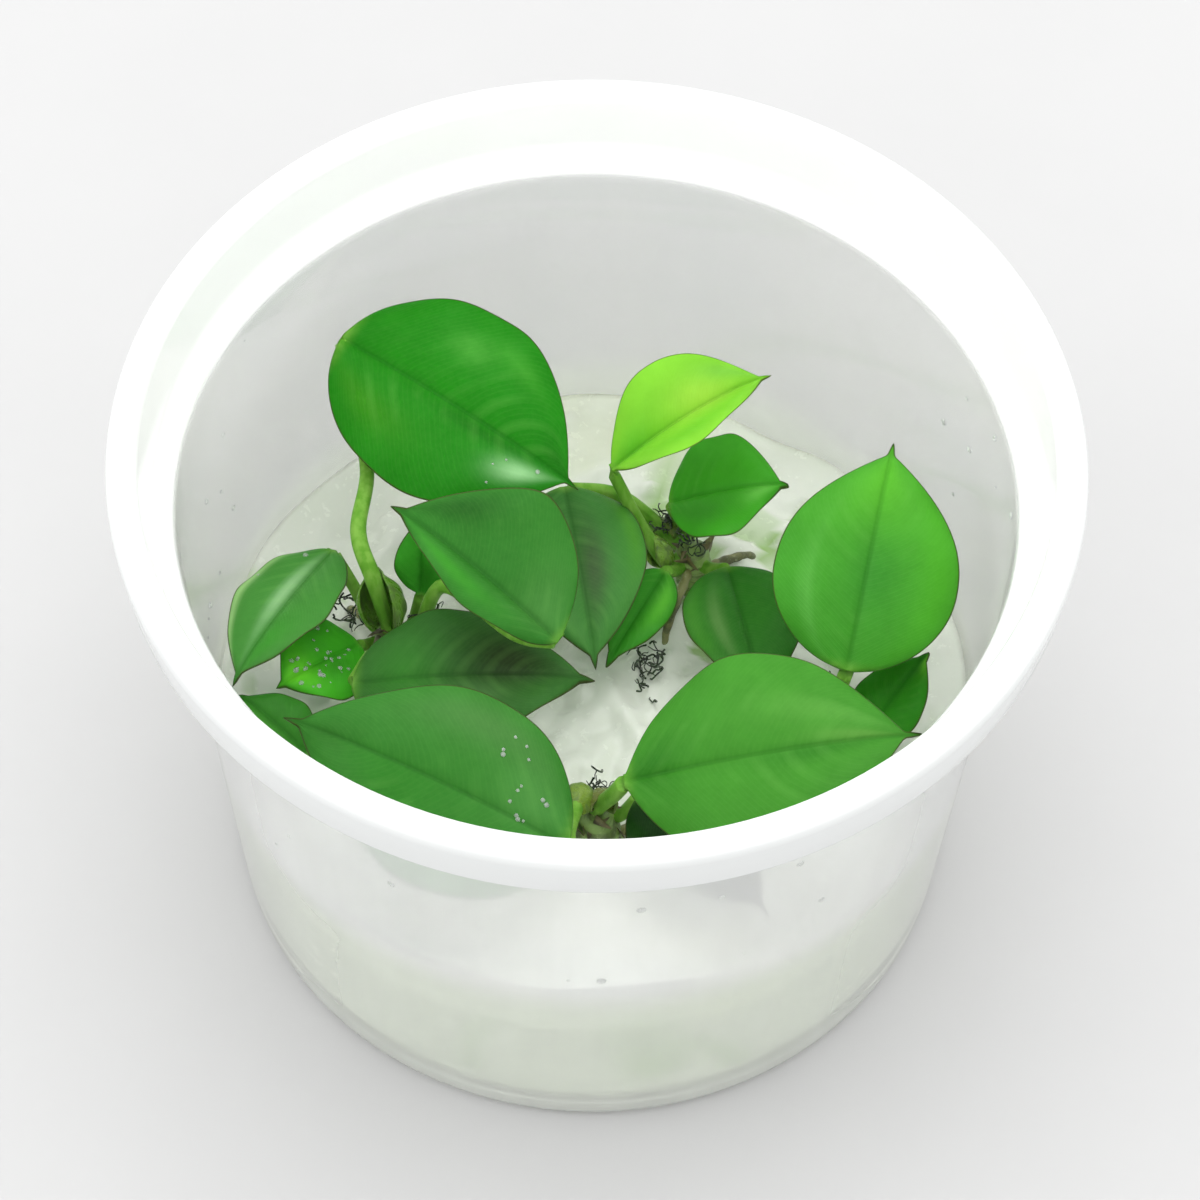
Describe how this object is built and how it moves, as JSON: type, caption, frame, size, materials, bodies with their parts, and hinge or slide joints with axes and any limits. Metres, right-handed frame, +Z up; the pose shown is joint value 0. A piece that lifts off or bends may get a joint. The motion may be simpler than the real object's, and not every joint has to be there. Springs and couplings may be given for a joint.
{
  "type": "anubias plantlets in culture cup",
  "caption": "Broad-leaved anubias plantlets rooted in pale nutrient gel inside a translucent tapered culture cup with a stepped flat rim, open on top.",
  "frame": {"origin": "middle of the cup's foot, on the surface it stands on", "axes": "+Z up through the open rim, -Y towards the front of the planting, +X to its right"},
  "size_m": [0.1, 0.1, 0.071],
  "materials": {
    "cup": "frosted translucent, satin",
    "gel": "wet, clear to milky",
    "leaf": "waxy, wet gloss",
    "leaf_young": "waxy, wet gloss",
    "rhizome": "matt, fleshy",
    "root": "matt, fibrous"
  },
  "bodies": {
    "root": {"cup": "cup", "gel": "gel", "leaf_tall_left": "leaf", "leaf_young": "leaf_young", "leaf_small_back": "leaf", "leaf_right": "leaf", "leaf_front_right": "leaf", "leaf_front_left": "leaf", "leaf_middle_dark": "leaf", "leaf_centre": "leaf", "leaf_behind_centre": "leaf", "leaf_under_centre": "leaf", "leaf_under_right": "leaf", "leaf_left_wall": "leaf", "leaf_small_left": "leaf", "leaf_low_front": "leaf", "leaf_low_right": "leaf", "leaf_low_left": "leaf", "leaf_bud_left": "leaf", "rhizome_left": "rhizome", "rhizome_back": "rhizome", "rhizome_front": "rhizome", "rhizome_right": "rhizome", "root_left_1": "root", "root_left_2": "root", "root_left_3": "root", "root_back_1": "root", "root_back_2": "root", "root_back_3": "root", "root_front_1": "root", "root_front_2": "root", "root_front_3": "root", "root_right_1": "root"}
  },
  "joints": []
}
